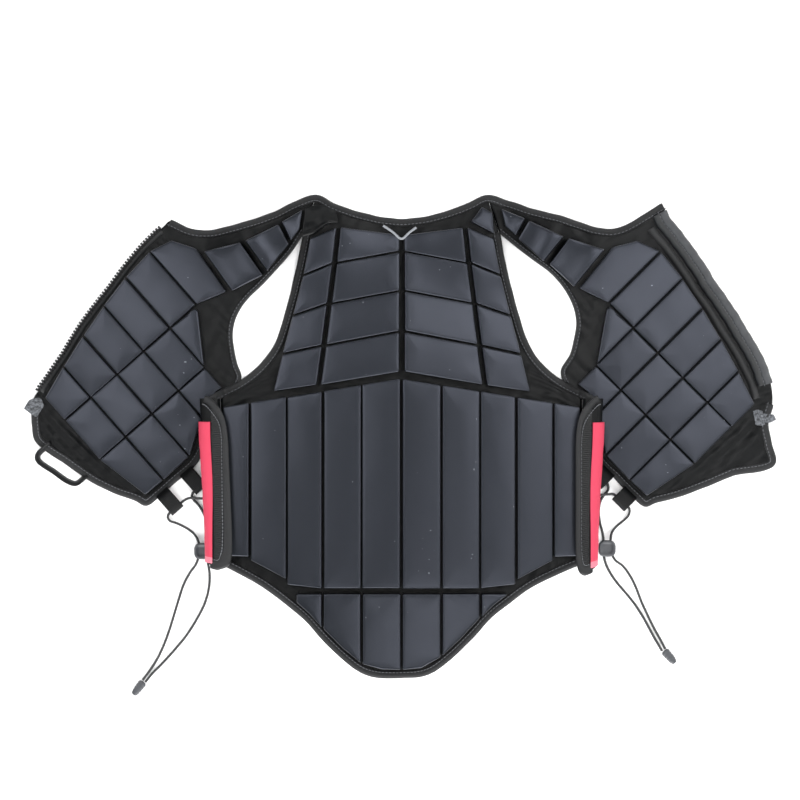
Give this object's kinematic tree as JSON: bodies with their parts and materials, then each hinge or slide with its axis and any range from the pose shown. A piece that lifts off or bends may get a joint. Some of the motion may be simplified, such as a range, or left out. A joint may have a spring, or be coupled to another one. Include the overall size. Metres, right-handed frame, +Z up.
{
  "type": "equestrian body protector laid open",
  "caption": "Riding vest of segmented foam blocks on cloth, unzipped and laid open with its padded inside up, side flaps curled in and lacing cords on the floor.",
  "frame": {"origin": "middle of the back's flat underside, the face that lies on the floor", "axes": "+X across the back, +Y from the tail to the neck, +Z up from the floor to the padded inside"},
  "size_m": [0.8542, 0.5768, 0.0459],
  "materials": {
    "foam": "matt moulded foam blocks, blue-black",
    "shell_cloth": "black woven nylon with a soft shine",
    "binding": "dark grey woven binding tape, stitched",
    "zip": "woven zip tape with moulded teeth",
    "storm_flap": "dark grey padded cloth, its outer band lighter than its inner one",
    "red_strip": "coral red woven cloth",
    "webbing": "ribbed black webbing",
    "cord_fittings": "moulded black plastic",
    "neck_loop": "thin pale cord loop",
    "cord": "braided black elastic cord"
  },
  "bodies": {
    "root": {"armhole_binding_back_left": "binding", "armhole_binding_back_right": "binding", "armhole_binding_front_left": "binding", "armhole_binding_front_right": "binding", "back_shell": "shell_cloth", "cord_end_left": "cord_fittings", "cord_end_right": "cord_fittings", "cord_lock_left": "cord_fittings", "cord_lock_right": "cord_fittings", "front_column_left_1": "foam", "front_column_left_2": "foam", "front_column_left_3": "foam", "front_column_right_1": "foam", "front_column_right_2": "foam", "front_column_right_3": "foam", "front_hem_binding_left": "binding", "front_hem_binding_right": "binding", "front_shell_left": "shell_cloth", "front_shell_right": "shell_cloth", "hem_binding": "binding", "lacing_tab_left_1": "webbing", "lacing_tab_left_2": "webbing", "lacing_tab_right_1": "webbing", "lacing_tab_right_2": "webbing", "left_cord_inner": "cord", "left_cord_outer": "cord", "long_block_left_1": "foam", "long_block_left_2": "foam", "long_block_left_3": "foam", "long_block_left_4": "foam", "long_block_left_5": "foam", "long_block_right_1": "foam", "long_block_right_2": "foam", "long_block_right_3": "foam", "long_block_right_4": "foam", "long_block_right_5": "foam", "neck_binding": "binding", "neck_loop": "neck_loop", "red_strip_left": "red_strip", "red_strip_right": "red_strip", "right_cord_inner": "cord", "right_cord_outer": "cord", "side_flap_left": "shell_cloth", "side_flap_right": "shell_cloth", "storm_flap_right": "storm_flap", "strap_pad_left": "foam", "strap_pad_right": "foam", "tail_block_left_1": "foam", "tail_block_left_2": "foam", "tail_block_left_3": "foam", "tail_block_right_1": "foam", "tail_block_right_2": "foam", "tail_block_right_3": "foam", "webbing_loop": "webbing", "yoke_inner_left": "foam", "yoke_inner_right": "foam", "yoke_outer_left": "foam", "yoke_outer_right": "foam", "zip_tape_left": "zip", "zip_tape_right": "zip"}
  },
  "joints": []
}
